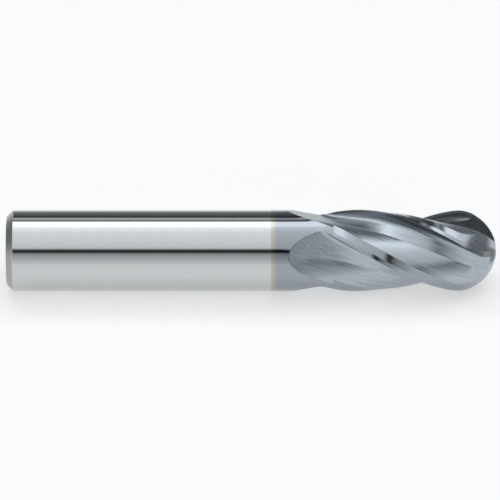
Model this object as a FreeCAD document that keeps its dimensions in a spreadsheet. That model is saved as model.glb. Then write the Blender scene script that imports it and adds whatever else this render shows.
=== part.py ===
import FreeCAD, Part
import Sketcher
import math
import os

from FreeCAD import Placement, Rotation, Vector

# Four-flute, ball-nosed, right-hand end mill, millimetres.
# Frame: origin at the centre of the shank's back face, +X along the axis to the tip, +Z up.
# Angles about the axis go from +Y towards +Z, so a right-hand helix gains angle with X.

SIZES = [
    # whole tool
    ("tool_dia", 12.7, "shank and cutting diameter"),
    ("tool_length", 76.2, "overall length"),
    ("shank_end", 41.1, "where the bare ground shank ends"),
    ("tint_width", 0.3, "width of the feathered edge of the coating"),
    ("back_chamfer", 1.05, "chamfer on the back of the shank"),
    ("neck_taper", 0.01, "how much the coated neck's radius shrinks towards the teeth"),
    ("cut_length", 25.4, "length of the relieved teeth, from the tip"),
    ("helix_angle", 30.0, "helix angle at the cutting diameter"),
    ("tooth_count", 4, "number of teeth"),
    ("first_edge_angle", 257.0, "angle of the first tooth's edge at the tip"),
    # flute
    ("web_radius", 4.3, "distance from the axis to the flat of the flute"),
    ("rake_angle", 8.0, "how far the rake face leans back"),
    ("root_radius", 1.1, "fillet between the rake face and the flute's flat"),
    ("flute_lead_angle", 27.6, "from the cutting edge to the middle of the flute"),
    ("crease_offset", 0.45, "from the middle of the flute to the foot of the tooth's back"),
    ("heel_radius", 5.99, "radius of the relieved heel"),
    ("back_bulge", 0.3, "how far the tooth's back stands proud of flat"),
    ("runout_start", 55.5, "where the grinding wheel begins to lift"),
    ("runout_end", 43.8, "where the wheel leaves the neck"),
    ("scoop_angle", 102.5, "from a tooth's edge at the tip back to the middle of its wheel scoop"),
    ("runout_blend", 1.0, "length over which the wheel stops following the helix"),
    # land
    ("primary_width", 0.72, "width of the primary relief"),
    ("primary_angle", 13.0, "clearance angle of the primary relief"),
    ("secondary_angle", 17.25, "how much steeper the secondary relief is"),
    ("secondary_span", 17.5, "angle about the axis that the secondary relief covers"),
    ("ball_land_gain", 0.13, "extra primary width on the ball"),
    # ball end
    ("long_rake_angle", 68.0, "direction that the long teeth's gash rake faces, from their edge"),
    ("web_half", 1.0, "half of the web between the two long teeth at the tip"),
    ("long_gash_angle", 3.8, "direction of the long teeth's gash floor, from their edge"),
    ("long_gash_tilt", 20.4, "tilt of that floor towards the tip"),
    ("long_gash_depth", 4.87, "distance of that floor from the ball's centre"),
    ("short_rake_angle", 70.0, "direction that the short teeth's gash rake faces, from their edge"),
    ("short_gash_angle", -34.4, "direction of the short teeth's gash floor, from their edge"),
    ("short_gash_tilt", 21.8, "tilt of that floor towards the tip"),
    ("short_gash_depth", 3.2, "distance of that floor from the ball's centre"),
    # division of the fluted length into core and teeth
    ("core_skin", 0.25, "how far the core's outside lies above the flute's flat"),
]

doc = FreeCAD.newDocument("end_mill")
sheet = doc.addObject("Spreadsheet::Sheet", "Sizes")
for row, (alias, value, words) in enumerate(SIZES, start=1):
    sheet.set(f"A{row}", words)
    sheet.set(f"B{row}", str(value))
    sheet.setAlias(f"B{row}", alias)
doc.recompute()


def size(alias):
    return float(sheet.get(alias))


RADIUS = size("tool_dia") / 2
TIP = size("tool_length")
BALL = TIP - RADIUS
TEETH_START = TIP - size("cut_length")
TEETH = int(size("tooth_count"))
PITCH = 360 / TEETH
LEAD = math.pi * size("tool_dia") / math.tan(math.radians(size("helix_angle")))
PAST_TIP = TIP + RADIUS / 3

# How far cutting shapes reach past the tool, and how finely the swept faces are divided.
CLEAR_RADIUS = 1.3 * RADIUS
BACK_RADIUS = 1.1 * RADIUS
INSIDE_LAND = 0.9 * RADIUS
SWEEP_STEP = 2.0
RUNOUT_STEP = 1.25
BACK_STEPS = 6
BALL_ANGLES = (8, 16, 24, 32, 40, 48, 56, 63, 70, 76, 81, 85)

# The part of the land that the flute removes: only its outline outside the tooth matters.
SMALLEST_LAND_RADIUS = 1.2
LAND_LEAD = 1.5
HIDDEN_GAP = 4
HIDDEN_DIP = 0.985


def polar(x, radius, angle):
    turn = math.radians(angle)
    return Vector(x, radius * math.cos(turn), radius * math.sin(turn))


def edge_angle(x, tooth):
    """Angle of a tooth's cutting edge at x. Teeth are numbered against the helix's turn."""
    return size("first_edge_angle") - tooth * PITCH - 360 * (TIP - x) / LEAD


def line(start, end):
    return Part.LineSegment(start, end).toShape()


def stations(start, end, step):
    count = math.ceil((end - start) / step)
    return [start + (end - start) * i / count for i in range(count + 1)]


def axis_pad(label, start, length):
    """A round bar along X between two bound stations, as a body with one pad."""
    body = doc.addObject("PartDesign::Body", label)
    origin_plane = [p for p in body.Origin.OriginFeatures if p.Role == "YZ_Plane"][0]
    sketch = body.newObject("Sketcher::SketchObject", label + "_section")
    sketch.AttachmentSupport = [(origin_plane, "")]
    sketch.MapMode = "FlatFace"
    sketch.setExpression("AttachmentOffset.Base.z", start)
    circle = Part.Circle(Vector(0, 0, 0), Vector(0, 0, 1), RADIUS)
    sketch.addGeometry(circle, False)
    sketch.addConstraint(Sketcher.Constraint("Coincident", 0, 3, -1, 1))
    sketch.addConstraint(Sketcher.Constraint("Diameter", 0, 2 * RADIUS))
    sketch.setExpression("Constraints[1]", "Sizes.tool_dia * 1 mm")
    pad = body.newObject("PartDesign::Pad", label + "_pad")
    pad.Profile = sketch
    pad.setExpression("Length", length)
    doc.recompute()
    return body


def make_shank():
    """Bare ground shank, chamfered at the back."""
    body = axis_pad("shank", "0 mm", "Sizes.shank_end * 1 mm")
    pad = body.Tip
    rims = [
        f"Edge{i}"
        for i, edge in enumerate(pad.Shape.Edges, start=1)
        if edge.BoundBox.XMax < 1e-6
    ]
    chamfer = body.newObject("PartDesign::Chamfer", "shank_back_chamfer")
    chamfer.Base = (pad, rims)
    chamfer.setExpression("Size", "Sizes.back_chamfer * 1 mm")
    return body


def make_coating_edge():
    """The narrow tinted band where the coating thins out over the shank."""
    return axis_pad("coating_edge", "Sizes.shank_end * 1 mm", "Sizes.tint_width * 1 mm")


def wheel_lift(x):
    """How far the grinding wheel has lifted out of the flute at x."""
    start = size("runout_start")
    if x >= start:
        return 0.0
    full = RADIUS - size("web_radius")
    return full * ((start - x) / (start - size("runout_end"))) ** 2


def flute_angle(x, tooth):
    """Middle of the flute ahead of a tooth: it follows the helix, then runs out straight."""
    helix = edge_angle(x, tooth) + size("flute_lead_angle")
    straight = edge_angle(TIP, tooth) - size("scoop_angle")
    per_mm = 360 / LEAD
    blend = size("runout_blend")
    ahead = (helix - straight) / per_mm
    soft = max(ahead, 0) + blend * math.log1p(math.exp(-abs(ahead) / blend))
    return straight + per_mm * soft


def flute_section(x, tooth):
    """Closed wire of the ground-out space ahead of a tooth, in the plane across the axis.

    Drawn in a local frame: out is along the middle of the flute, side is across it.
    """
    middle = flute_angle(x, tooth)
    floor = size("web_radius") + wheel_lift(x)
    depth_share = max(0.0, (RADIUS - floor) / (RADIUS - size("web_radius")))

    def place(out, side):
        turn = math.radians(middle)
        across = out * math.cos(turn) - side * math.sin(turn)
        up = out * math.sin(turn) + side * math.cos(turn)
        return Vector(x, across, up)

    edge = math.radians(edge_angle(x, tooth) - middle)
    lean = edge + math.radians(size("rake_angle"))
    edge_out = RADIUS * math.cos(edge)
    edge_side = RADIUS * math.sin(edge)

    def on_rake(out):
        return (out, edge_side + (out - edge_out) * math.tan(lean))

    corner_side = on_rake(floor)[1]
    root = size("root_radius")
    turn_half = math.acos(-math.sin(lean)) / 2
    tangent = root * math.tan(turn_half)
    rake_foot = on_rake(floor + tangent * math.cos(lean))
    floor_start = (floor, corner_side + tangent)
    centre = (floor + root, floor_start[1])
    towards = math.atan2(
        rake_foot[1] + floor_start[1] - 2 * centre[1],
        rake_foot[0] + floor_start[0] - 2 * centre[0],
    )
    root_mid = (centre[0] + root * math.cos(towards), centre[1] + root * math.sin(towards))

    crease = size("crease_offset")
    heel_side = math.sqrt(size("heel_radius") ** 2 - size("web_radius") ** 2)
    bulge = size("back_bulge") * depth_share

    def on_back(side):
        share = (side - crease) / (heel_side - crease)
        return (floor + 4 * bulge * share * (1 - share), side)

    back_end = BACK_RADIUS
    back_step = (back_end - crease) / BACK_STEPS
    back_points = [on_back(crease + back_step * i) for i in range(BACK_STEPS + 1)]
    back = Part.BSplineCurve()
    back.interpolate([place(*p) for p in back_points])
    outer_rake = on_rake(CLEAR_RADIUS)
    return Part.Wire([
        line(place(*outer_rake), place(*rake_foot)),
        Part.Arc(place(*rake_foot), place(*root_mid), place(*floor_start)).toShape(),
        line(place(*floor_start), place(*back_points[0])),
        back.toShape(),
        line(place(*back_points[-1]), place(CLEAR_RADIUS, back_end)),
        line(place(CLEAR_RADIUS, back_end), place(*outer_rake)),
    ])


def make_flute(tooth):
    """The space that the grinding wheel leaves ahead of one tooth."""
    margin = RUNOUT_STEP
    runout = stations(size("runout_end") - margin, size("runout_start") + margin, RUNOUT_STEP)
    helical = stations(size("runout_start") + margin, PAST_TIP, SWEEP_STEP)
    wires = [flute_section(x, tooth) for x in runout + helical[1:]]
    feature = doc.addObject("Part::Feature", f"flute_{tooth + 1}")
    feature.Shape = Part.makeLoft(wires, True, False)
    return feature


def land_section(x):
    """Outline of the relieved tool across the axis: two relief flats per tooth.

    The first flat runs on a little past the cutting edge, so that the flute cuts the edge clean.
    """
    if x <= BALL:
        radius = RADIUS
        width = size("primary_width")
    else:
        radius = math.sqrt(RADIUS ** 2 - (x - BALL) ** 2)
        width = size("primary_width") + size("ball_land_gain") * min(1, (x - BALL) / 2)
    primary_end = math.degrees(width / max(radius, SMALLEST_LAND_RADIUS))
    clearance = math.radians(size("primary_angle"))
    flat = radius * math.cos(clearance)
    lead_radius = flat / math.cos(clearance + math.radians(LAND_LEAD))
    first_radius = flat / math.cos(math.radians(primary_end) - clearance)
    secondary = math.radians(size("secondary_angle"))
    span = math.radians(size("secondary_span"))
    secondary_end = primary_end + size("secondary_span")
    second_radius = first_radius * math.cos(secondary) / math.cos(span - secondary)
    hidden_end = PITCH - HIDDEN_GAP
    edges = []
    for tooth in range(TEETH):
        edge = edge_angle(x, tooth)
        corner = polar(x, lead_radius, edge + LAND_LEAD)
        first = polar(x, first_radius, edge - primary_end)
        second = polar(x, second_radius, edge - secondary_end)
        middle = polar(x, HIDDEN_DIP * second_radius, edge - (secondary_end + hidden_end) / 2)
        third = polar(x, second_radius, edge - hidden_end)
        edges.append(line(corner, first))
        edges.append(line(first, second))
        edges.append(Part.Arc(second, middle, third).toShape())
        edges.append(line(third, polar(x, lead_radius, edge + LAND_LEAD - PITCH)))
    return Part.Wire(edges)


def make_blank():
    """Relieved blank from the start of the teeth to the tip of the ball."""
    straight = stations(TEETH_START, BALL, SWEEP_STEP)
    ball = [BALL + RADIUS * math.sin(math.radians(angle)) for angle in BALL_ANGLES]
    feature = doc.addObject("Part::Feature", "relieved_blank")
    feature.Shape = Part.makeLoft([land_section(x) for x in straight + ball], True, False)
    return feature


def half_space(label, point, normal):
    """A large block whose near face passes through point, on the side that normal points to."""
    reach = 4 * RADIUS
    block = doc.addObject("Part::Box", label)
    block.Length = block.Width = block.Height = 2 * reach
    turn = Rotation(Vector(0, 0, 1), normal)
    centring = Placement(Vector(-reach, -reach, 0), Rotation())
    block.Placement = Placement(point, turn).multiply(centring)
    return block


def tilted(angle, tilt):
    """Unit vector at an angle about the axis, tilted towards the tip."""
    lean = math.radians(tilt)
    flat = polar(0, math.cos(lean), angle)
    return Vector(math.sin(lean), flat.y, flat.z)


def make_gash(tooth):
    """The notch that opens one tooth's edge on the ball. Long and short teeth take turns."""
    tip_angle = edge_angle(TIP, tooth)
    if tooth % 2:
        kind = "long"
        rake_normal = tilted(tip_angle + size("long_rake_angle"), 0)
        rake_point = rake_normal * size("web_half")
    else:
        kind = "short"
        rake_normal = tilted(tip_angle + size("short_rake_angle"), 0)
        rake_point = Vector(0, 0, 0)
    floor_normal = tilted(tip_angle + size(kind + "_gash_angle"), size(kind + "_gash_tilt"))
    ball_centre = Vector(BALL, 0, 0)
    rake = half_space(f"gash_{tooth + 1}_rake", rake_point + ball_centre, rake_normal)
    floor_point = ball_centre + floor_normal * size(kind + "_gash_depth")
    floor = half_space(f"gash_{tooth + 1}_floor", floor_point, floor_normal)
    gash = doc.addObject("Part::Common", f"gash_{tooth + 1}")
    gash.Base = rake
    gash.Tool = floor
    return gash


def compound(label, items):
    feature = doc.addObject("Part::Compound", label)
    feature.Links = items
    return feature


def cut(label, base, tool):
    feature = doc.addObject("Part::Cut", label)
    feature.Base = base
    feature.Tool = tool
    return feature


def cut_all(label, base, tools):
    """Cut several tools off one after another; only the last result takes the plain label."""
    for number, tool in enumerate(tools[:-1], start=1):
        base = cut(f"{label}_after_{number}", base, tool)
    return cut(label, base, tools[-1])


def make_core_bar():
    """Round bar that divides the core from the teeth; it thickens where the flutes run out."""
    start_radius = size("web_radius") + wheel_lift(TEETH_START) + size("core_skin")
    web_radius = size("web_radius") + size("core_skin")
    corners = [
        Vector(TEETH_START, 0, 0),
        Vector(TEETH_START, start_radius, 0),
        Vector(size("runout_start"), web_radius, 0),
        Vector(PAST_TIP, web_radius, 0),
        Vector(PAST_TIP, 0, 0),
    ]
    face = Part.Face(Part.makePolygon(corners + corners[:1]))
    feature = doc.addObject("Part::Feature", "core_bar")
    feature.Shape = face.revolve(Vector(0, 0, 0), Vector(1, 0, 0), 360)
    return feature


def make_neck(flutes):
    """Coated neck, with the scoops that the wheel leaves as each flute runs out."""
    bar = doc.addObject("Part::Cone", "neck_bar")
    bar.setExpression("Radius1", "Sizes.tool_dia / 2 * 1 mm")
    bar.setExpression("Radius2", "(Sizes.tool_dia / 2 - Sizes.neck_taper) * 1 mm")
    bar.setExpression(
        "Height",
        "(Sizes.tool_length - Sizes.cut_length - Sizes.shank_end - Sizes.tint_width) * 1 mm",
    )
    start = size("shank_end") + size("tint_width")
    bar.Placement = Placement(Vector(start, 0, 0), Rotation(Vector(0, 0, 1), Vector(1, 0, 0)))
    return cut_all("neck", bar, flutes)


def make_tooth(number, all_teeth):
    """One of the separate teeth left round the core, found by its place on the edge."""
    middle = (TEETH_START + BALL) / 2
    inside = edge_angle(middle, number) - size("secondary_span") / 2
    point = polar(middle, INSIDE_LAND, inside)
    feature = doc.addObject("Part::Feature", f"tooth_{number + 1}")
    feature.Shape = [s for s in all_teeth.Shape.Solids if s.isInside(point, 1e-3, True)][0]
    return feature


parts = [make_shank(), make_coating_edge()]
flutes = [make_flute(tooth) for tooth in range(TEETH)]
gashes = [make_gash(tooth) for tooth in range(TEETH)]
# Flutes that face each other never meet; neighbours overlap outside the tool.
flute_pairs = [compound(f"flute_pair_{side + 1}", flutes[side::2]) for side in range(2)]
parts.append(make_neck(flute_pairs))
core_bar = make_core_bar()
fluted = cut_all("fluted_end", make_blank(), flute_pairs + gashes)
core = doc.addObject("Part::Common", "core")
core.Base = fluted
core.Tool = core_bar
parts.append(core)
teeth = cut("all_teeth", fluted, core_bar)
doc.recompute()
parts += [make_tooth(number, teeth) for number in range(TEETH)]
doc.recompute()

for item in doc.Objects:
    if "Invalid" in item.State or "Error" in item.State:
        raise SystemExit(f"{item.Label} failed: {item.State}")
for part in parts:
    if part.Shape.isNull() or not part.Shape.isValid():
        raise SystemExit(f"{part.Label} has no valid shape")

os.makedirs("parts", exist_ok=True)
for part in parts:
    part.Shape.exportStep(f"parts/{part.Label}.step")
    print(part.Label, len(part.Shape.Solids), round(part.Shape.Volume, 2))
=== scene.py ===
import math

import bpy
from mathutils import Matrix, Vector


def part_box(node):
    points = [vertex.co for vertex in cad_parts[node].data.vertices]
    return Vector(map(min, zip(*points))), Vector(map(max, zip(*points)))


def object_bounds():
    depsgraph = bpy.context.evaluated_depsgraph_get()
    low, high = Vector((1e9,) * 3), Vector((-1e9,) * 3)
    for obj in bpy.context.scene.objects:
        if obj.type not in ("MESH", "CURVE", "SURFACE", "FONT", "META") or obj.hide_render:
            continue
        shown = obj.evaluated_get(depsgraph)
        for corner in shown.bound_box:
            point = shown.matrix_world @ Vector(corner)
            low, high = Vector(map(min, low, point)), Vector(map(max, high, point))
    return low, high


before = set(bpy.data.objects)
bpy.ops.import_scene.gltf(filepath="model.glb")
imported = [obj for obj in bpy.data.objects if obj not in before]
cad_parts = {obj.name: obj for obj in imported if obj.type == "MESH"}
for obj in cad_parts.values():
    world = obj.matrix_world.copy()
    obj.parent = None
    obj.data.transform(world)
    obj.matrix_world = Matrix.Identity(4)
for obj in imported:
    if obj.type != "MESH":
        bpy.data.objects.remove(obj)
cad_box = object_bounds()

# The tool lies along X on a lit pale table, tip towards +X. Metres throughout.
# Round the tool's axis, directions are counted in degrees from the front horizon (-Y) up over the top.

LOW, HIGH = (Vector(corner) for corner in cad_box)
LENGTH = HIGH.x - LOW.x
MIDDLE = LOW.x + LENGTH / 2
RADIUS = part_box("shank")[1][2]
NECK_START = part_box("neck")[0][0]

CAMERA_ELEVATION = math.radians(35)
CAMERA_DISTANCE = 0.87
PICTURE_WIDTH = 1.0231 * LENGTH

# The cutting edges wind round the axis at 30 degrees. Angles round the axis count from +Y towards +Z.
HELIX_TURN = math.tan(math.radians(30)) / RADIUS
TEETH = 4
TIP_EDGE_ANGLE = math.radians(257)
BALL_START = HIGH.x - RADIUS

# Degrees of land that count as belonging to a rake face, and where along X the painted shade on the rake
# faces sets in.
LAND_SIDE = 30
RAKE_SHADE_START = 0.056
RAKE_SHADE_FULL = 0.064

# The coating is glossy on the round outside and dull where the wheel has ground it.
GLOSS_EDGE = 0.00004
NECK_POLISHED_FROM = RADIUS - 0.00005
TEETH_POLISHED_FROM = 0.94 * RADIUS
COATING_FADE = 0.0009
CHAMFER_INSIDE = RADIUS - 0.00010
CHAMFER_OUTSIDE = RADIUS - 0.00004


class Nodes:
    """Short calls for building one node tree."""

    def __init__(self, tree):
        self.tree = tree

    def add(self, kind, **settings):
        node = self.tree.nodes.new(kind)
        for name, value in settings.items():
            setattr(node, name, value)
        return node

    def feed(self, socket, value):
        if isinstance(value, bpy.types.NodeSocket):
            self.tree.links.new(value, socket)
        else:
            socket.default_value = value

    def math(self, operation, *values):
        node = self.add("ShaderNodeMath", operation=operation)
        for socket, value in zip(node.inputs, values):
            self.feed(socket, value)
        return node.outputs[0]

    def hypotenuse(self, first, second):
        first_squared = self.math("MULTIPLY", first, first)
        second_squared = self.math("MULTIPLY", second, second)
        return self.math("SQRT", self.math("ADD", first_squared, second_squared))

    def fade(self, value, start, end, low=0.0, high=1.0):
        """Smooth step of value from low at start to high at end."""
        node = self.add("ShaderNodeMapRange", interpolation_type="SMOOTHSTEP")
        entries = {"Value": value, "From Min": start, "From Max": end, "To Min": low, "To Max": high}
        for name, entry in entries.items():
            self.feed(node.inputs[name], entry)
        return node.outputs[0]

    def mix(self, share, first, second, kind="RGBA"):
        node = self.add("ShaderNodeMix", data_type=kind)
        sockets = [s for s in node.inputs if s.enabled]
        self.feed(sockets[0], share)
        self.feed(sockets[1], first)
        self.feed(sockets[2], second)
        return [s for s in node.outputs if s.enabled][0]

    def ramp(self, value, stops):
        node = self.add("ShaderNodeValToRGB")
        elements = node.color_ramp.elements
        while len(elements) < len(stops):
            elements.new(0.5)
        for element, (place, color) in zip(elements, stops):
            element.position = place
            element.color = (*color, 1)
        self.feed(node.inputs[0], value)
        return node.outputs[0]


# ---- camera and table

def make_camera():
    """Long lens, square to the tool's side."""
    data = bpy.data.cameras.new("camera")
    data.sensor_width = 36
    data.lens = 36 * CAMERA_DISTANCE / PICTURE_WIDTH
    data.clip_start = 0.01
    camera = bpy.data.objects.new("camera", data)
    aim = Vector((MIDDLE - 0.00022, 0, 0.0001))
    back = Vector((0, -math.cos(CAMERA_ELEVATION), math.sin(CAMERA_ELEVATION)))
    camera.location = aim + CAMERA_DISTANCE * back
    camera.rotation_euler = (math.pi / 2 - CAMERA_ELEVATION, 0, 0)
    bpy.context.scene.collection.objects.link(camera)
    bpy.context.scene.camera = camera


def make_table():
    """A large white sheet that glows on its own like backlit acrylic: painted light, stronger near the
    tool, which lifts its shadow.
    """
    mesh = bpy.data.meshes.new("table")
    reach = 1.2
    corners = [(-reach, -reach), (reach, -reach), (reach, reach), (-reach, reach)]
    mesh.from_pydata([(x + MIDDLE, y, LOW.z) for x, y in corners], [], [(0, 1, 2, 3)])
    sheet = bpy.data.objects.new("table", mesh)
    bpy.context.scene.collection.objects.link(sheet)
    material = bpy.data.materials.new("glowing_table_sheet")
    material.use_nodes = True
    shader = material.node_tree.nodes["Principled BSDF"]
    shader.inputs["Base Color"].default_value = (0.62, 0.62, 0.62, 1)
    shader.inputs["Roughness"].default_value = 0.8
    shader.inputs["Specular IOR Level"].default_value = 0.1
    shader.inputs["Emission Color"].default_value = (1, 1, 1, 1)
    nodes = Nodes(material.node_tree)
    parts = nodes.add("ShaderNodeSeparateXYZ")
    nodes.feed(parts.inputs[0], nodes.add("ShaderNodeTexCoord").outputs["Object"])
    away = nodes.math("ABSOLUTE", parts.outputs[1])
    # painted light: the sheet glows at 0.5 close to the tool's axis and 0.25 far out, lifting the tool's
    # shadow and the dark in its reflections
    nodes.feed(shader.inputs["Emission Strength"], nodes.fade(away, 0.065, 0.30, 0.5, 0.25))
    mesh.materials.append(material)


# ---- light: one long overhead softbox, with the camera looking through the gap in front of it

SKY = [
    # direction about the axis, brightness
    (-10, 0.80),
    (1, 0.84),
    (6, 0.68),
    (12, 0.59),
    (18, 0.53),
    (25.3, 0.40),
    (29.2, 0.05),
    (31.8, 0.012),
    (36.6, 0.012),
    (39.4, 0.60),
    (42.6, 0.88),
    (60, 0.98),
    (84, 1.10),
    (96, 1.27),
    (104, 1.50),
    (109, 2.00),
    (123, 2.00),
    (125.5, 0.45),
    (130, 0.02),
    (135.5, 0.85),
    (140, 0.45),
    (144, 0.0),
    (148.5, 0.10),
    (160, 0.15),
    (176, 0.30),
]


def make_studio():
    world = bpy.data.worlds.new("studio")
    world.use_nodes = True
    nodes = Nodes(world.node_tree)
    background = world.node_tree.nodes["Background"]
    direction = nodes.add("ShaderNodeTexCoord").outputs["Generated"]
    parts = nodes.add("ShaderNodeSeparateXYZ")
    nodes.feed(parts.inputs[0], direction)
    x, y, z = parts.outputs
    around = nodes.math("ARCTAN2", z, nodes.math("MULTIPLY", y, -1))
    degrees = nodes.math("DEGREES", around)
    # the back of the room, below the horizon, comes out of the arctangent as large negatives
    forward = nodes.math("MODULO", nodes.math("ADD", degrees, 450), 360)
    start, end = SKY[0][0], SKY[-1][0]
    share = nodes.math("DIVIDE", nodes.math("SUBTRACT", forward, 90 + start), end - start)
    tint = (0.975, 1.0, 1.015)
    stops = [((a - start) / (end - start), [b * t for t in tint]) for a, b in SKY]
    strip = nodes.ramp(share, stops)
    sideways = nodes.math("ABSOLUTE", x)
    within = nodes.fade(sideways, 0.50, 0.72, 1, 0)
    room = (0.22, 0.225, 0.23, 1)
    nodes.feed(background.inputs["Color"], nodes.mix(within, room, strip))
    bpy.context.scene.world = world
    bpy.context.scene.view_settings.view_transform = "Standard"


# ---- finishes

def plain_metal(name, color, roughness):
    material = bpy.data.materials.new(name)
    material.use_nodes = True
    nodes = Nodes(material.node_tree)
    shader = material.node_tree.nodes["Principled BSDF"]
    shader.inputs["Metallic"].default_value = 1
    nodes.feed(shader.inputs["Base Color"], color)
    nodes.feed(shader.inputs["Roughness"], roughness)
    return material, nodes, shader


def place_on_tool(nodes):
    """x, distance from the axis, position with the helix's turn taken out, and plain position."""
    place = nodes.add("ShaderNodeTexCoord").outputs["Object"]
    parts = nodes.add("ShaderNodeSeparateXYZ")
    nodes.feed(parts.inputs[0], place)
    x, y, z = parts.outputs
    radius = nodes.hypotenuse(y, z)
    untwist = nodes.add("ShaderNodeVectorRotate", rotation_type="X_AXIS")
    nodes.feed(untwist.inputs["Vector"], place)
    nodes.feed(untwist.inputs["Angle"], nodes.math("MULTIPLY", x, -HELIX_TURN))
    return x, radius, untwist.outputs[0], place


def past_edge(nodes, straight):
    """Degrees round the axis from a line LAND_SIDE degrees behind each cutting edge, towards its flute."""
    parts = nodes.add("ShaderNodeSeparateXYZ")
    nodes.feed(parts.inputs[0], straight)
    angle = nodes.math("ARCTAN2", parts.outputs[2], parts.outputs[1])
    first = TIP_EDGE_ANGLE - HELIX_TURN * HIGH.x - math.radians(LAND_SIDE)
    ahead = nodes.math("ADD", angle, 4 * math.pi - first)
    return nodes.math("DEGREES", nodes.math("MODULO", ahead, 2 * math.pi / TEETH))


def faces_outward(nodes, radius):
    """How far a face looks away from the axis: near 1 on the lands, near 0 on the rake faces."""
    coordinates = nodes.add("ShaderNodeTexCoord")
    across = nodes.add("ShaderNodeVectorMath", operation="MULTIPLY")
    nodes.feed(across.inputs[0], coordinates.outputs["Object"])
    across.inputs[1].default_value = (0, 1, 1)
    dot = nodes.add("ShaderNodeVectorMath", operation="DOT_PRODUCT")
    nodes.feed(dot.inputs[0], across.outputs[0])
    nodes.feed(dot.inputs[1], coordinates.outputs["Normal"])
    return nodes.math("DIVIDE", dot.outputs["Value"], radius)


def streaks(nodes, vector, stretch, scale, detail=3.0):
    """Noise drawn out along X."""
    squeeze = nodes.add("ShaderNodeMapping")
    nodes.feed(squeeze.inputs["Vector"], vector)
    squeeze.inputs["Scale"].default_value = stretch
    noise = nodes.add("ShaderNodeTexNoise")
    nodes.feed(noise.inputs["Vector"], squeeze.outputs[0])
    noise.inputs["Scale"].default_value = scale
    noise.inputs["Detail"].default_value = detail
    return noise.outputs[0]


def ground_carbide():
    """Bare carbide, ground round and polished: faint rings round the shank, a duller chamfer."""
    material, nodes, shader = plain_metal("ground_carbide", (0.565, 0.58, 0.585, 1), 0.12)
    _, radius, _, place = place_on_tool(nodes)
    rings = streaks(nodes, place, (1, 0.05, 0.05), 2600)
    dullness = nodes.fade(radius, CHAMFER_INSIDE, CHAMFER_OUTSIDE, 0.34, 0.11)
    nodes.feed(shader.inputs["Roughness"], dullness)
    ringed = nodes.mix(rings, (0.55, 0.565, 0.57, 1), (0.58, 0.595, 0.60, 1))
    round_wall = nodes.fade(radius, CHAMFER_INSIDE, CHAMFER_OUTSIDE)
    nodes.feed(shader.inputs["Base Color"], nodes.mix(round_wall, (0.38, 0.385, 0.38, 1), ringed))
    bump = nodes.add("ShaderNodeBump")
    bump.inputs["Strength"].default_value = 0.06
    bump.inputs["Distance"].default_value = 0.00002
    nodes.feed(bump.inputs["Height"], streaks(nodes, place, (0.5, 0.25, 0.25), 900, 1.0))
    nodes.feed(shader.inputs["Normal"], bump.outputs[0])
    return material


def coating_tint():
    """Golden line where the coating thins out."""
    return plain_metal("coating_tint", (0.50, 0.46, 0.36, 1), 0.12)[0]


def coated_carbide(name, polished_from, gloss, rake):
    """Blue-grey coating: glossy outside the given radius, ground dull along the helix inside it.

    With rake, faces that stand upright beside a cutting edge get painted shade, darker towards the tip.
    """
    material, nodes, shader = plain_metal(name, (0.325, 0.35, 0.385, 1), 0.2)
    x, radius, straight, _ = place_on_tool(nodes)
    # on the ball the distance counts from the ball's middle, and the polish gives way to ground metal
    past_ball = nodes.math("MAXIMUM", nodes.math("SUBTRACT", x, BALL_START), 0)
    outward = nodes.hypotenuse(radius, past_ball)
    polished = nodes.fade(outward, polished_from - GLOSS_EDGE, polished_from)
    nose = nodes.fade(past_ball, 0.0005, 0.0045, 1, 0)
    polish = nodes.math("MULTIPLY", polished, nose)
    grain = streaks(nodes, straight, (0.05, 1, 1), 3800, 5.0)
    dull = nodes.fade(grain, 0.3, 0.7, 0.26, 0.40)
    nodes.feed(shader.inputs["Roughness"], nodes.mix(polish, dull, gloss, "FLOAT"))
    # the coating thickens over the first millimetre past its golden edge
    full = nodes.fade(x, NECK_START, NECK_START + COATING_FADE)
    smooth = nodes.mix(full, (0.40, 0.41, 0.41, 1), (0.325, 0.35, 0.385, 1))
    scored_and_rake_shade = nodes.mix(nodes.fade(grain, 0.3, 0.7), (0.36, 0.40, 0.44, 1), (0.47, 0.51, 0.555, 1))
    # painted shade: upright faces beside each cutting edge turn near-black towards the tip, standing in
    # for the dark they reflect from the flutes below
    if rake:
        round_axis = past_edge(nodes, straight)
        near = nodes.fade(round_axis, LAND_SIDE + 16, LAND_SIDE + 30, 1, 0)
        behind = nodes.fade(round_axis, 0, 8)
        forward = nodes.fade(x, RAKE_SHADE_START, RAKE_SHADE_FULL)
        upright = nodes.fade(faces_outward(nodes, radius), 0.40, 0.88, 1, 0)
        beside_edge = nodes.math("MULTIPLY", near, behind)
        towards_tip = nodes.math("MULTIPLY", forward, upright)
        painted_rake_shade = nodes.math("MULTIPLY", beside_edge, towards_tip)
        # painted shade, not coating: the near-black colour mixed in here
        scored_and_rake_shade = nodes.mix(painted_rake_shade, scored_and_rake_shade, (0.11, 0.12, 0.13, 1))
    nodes.feed(shader.inputs["Base Color"], nodes.mix(polish, scored_and_rake_shade, smooth))
    bump = nodes.add("ShaderNodeBump")
    nodes.feed(bump.inputs["Strength"], nodes.mix(polish, 0.25, 0.0, "FLOAT"))
    bump.inputs["Distance"].default_value = 0.00002
    nodes.feed(bump.inputs["Height"], grain)
    nodes.feed(shader.inputs["Normal"], bump.outputs[0])
    return material


def dress(name, material):
    piece = bpy.data.objects[name]
    piece.data.materials.clear()
    piece.data.materials.append(material)
    for face in piece.data.polygons:
        face.material_index = 0


make_camera()
make_table()
make_studio()
neck_coat = coated_carbide("coated_neck", NECK_POLISHED_FROM, 0.07, rake=False)
tooth_coat_rake_shaded = coated_carbide("coated_teeth_rake_shaded", TEETH_POLISHED_FROM, 0.15, rake=True)
finishes = {"shank": ground_carbide(), "coating_edge": coating_tint(), "neck": neck_coat}
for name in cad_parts:
    dress(name, finishes.get(name, tooth_coat_rake_shaded))
